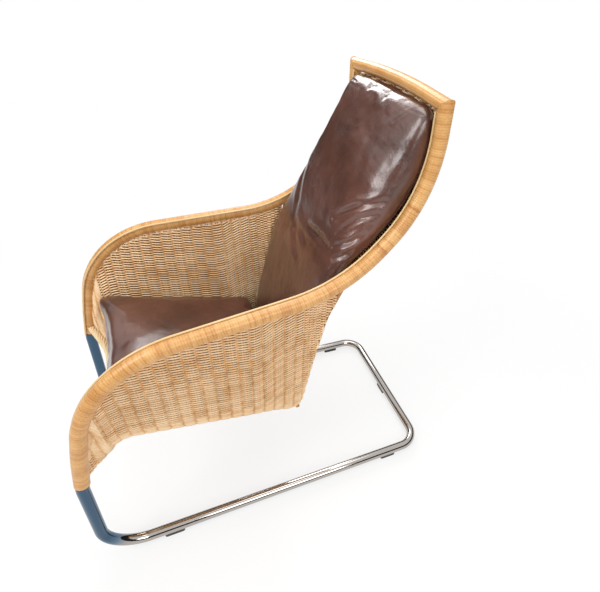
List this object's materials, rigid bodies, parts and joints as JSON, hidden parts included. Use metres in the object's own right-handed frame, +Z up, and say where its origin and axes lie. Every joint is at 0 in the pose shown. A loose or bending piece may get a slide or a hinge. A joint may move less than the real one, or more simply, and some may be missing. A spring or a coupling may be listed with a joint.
{
  "type": "cantilever lounge chair",
  "caption": "Cantilever lounge chair: a springy tube floor loop and front legs carry a woven cane shell with arms, a high back and loose leather seat and back cushions.",
  "frame": {"origin": "centre of the box that the chair fills, at floor height", "axes": "+Z up, +Y to the rear, +X to the sitter's left"},
  "size_m": [0.5054, 0.8612, 0.9926],
  "materials": {
    "chrome_tube": "polished chrome plate on bent steel tube",
    "black_plastic": "moulded black nylon",
    "pale_felt": "pressed felt",
    "steel": "bare drawn steel, hidden inside the cane",
    "wound_cane": "flat cane wound edge to edge, clear varnish",
    "pale_cane": "pale outer cane, clear varnish",
    "woven_cane": "round cane weave, clear varnish",
    "brown_leather": "glossy brown leather, soft and creased",
    "foam": "open cell foam with a fibre wrap",
    "zip": "zip with metal teeth",
    "tape": "hook and loop tape"
  },
  "bodies": {
    "base": {"floor_loop": "chrome_tube", "front_left_glide": "black_plastic", "front_right_glide": "black_plastic", "rear_left_glide": "black_plastic", "rear_right_glide": "black_plastic", "rear_bar_glide": "black_plastic", "glide_soles": "pale_felt"},
    "shell": {"left_riser": "chrome_tube", "right_riser": "chrome_tube", "plug_screws": "steel", "left_frame_tube": "steel", "right_frame_tube": "steel", "top_frame_tube": "steel", "front_cross_rod": "steel", "rear_cross_rod": "steel", "left_seat_rod": "steel", "right_seat_rod": "steel", "left_rim_wrap": "wound_cane", "right_rim_wrap": "wound_cane", "top_rim_wrap": "wound_cane", "left_edge_cane": "pale_cane", "right_edge_cane": "pale_cane", "front_roll": "woven_cane", "left_side_panel": "woven_cane", "right_side_panel": "woven_cane", "seat_panel": "woven_cane", "back_panel": "woven_cane", "back_cushion_cover": "brown_leather", "back_cushion_foam": "foam", "back_cushion_zip": "zip", "back_cushion_tape": "tape"},
    "seat_cushion": {"seat_cushion_cover": "brown_leather", "seat_cushion_foam": "foam", "seat_cushion_zip": "zip"}
  },
  "joints": [
    {"name": "seat_flex", "type": "hinge", "parent": "base", "child": "shell", "pos_m": [0, -0.38472, 0.05448], "axis": [-1, 0, 0], "range_deg": [0, 4], "stiffness_Nm_per_rad": 5400, "springref_deg": -0.69},
    {"name": "seat_cushion_lift", "type": "slide", "parent": "shell", "child": "seat_cushion", "axis": [0, 0, 1], "range_m": [0, 0.12]}
  ]
}
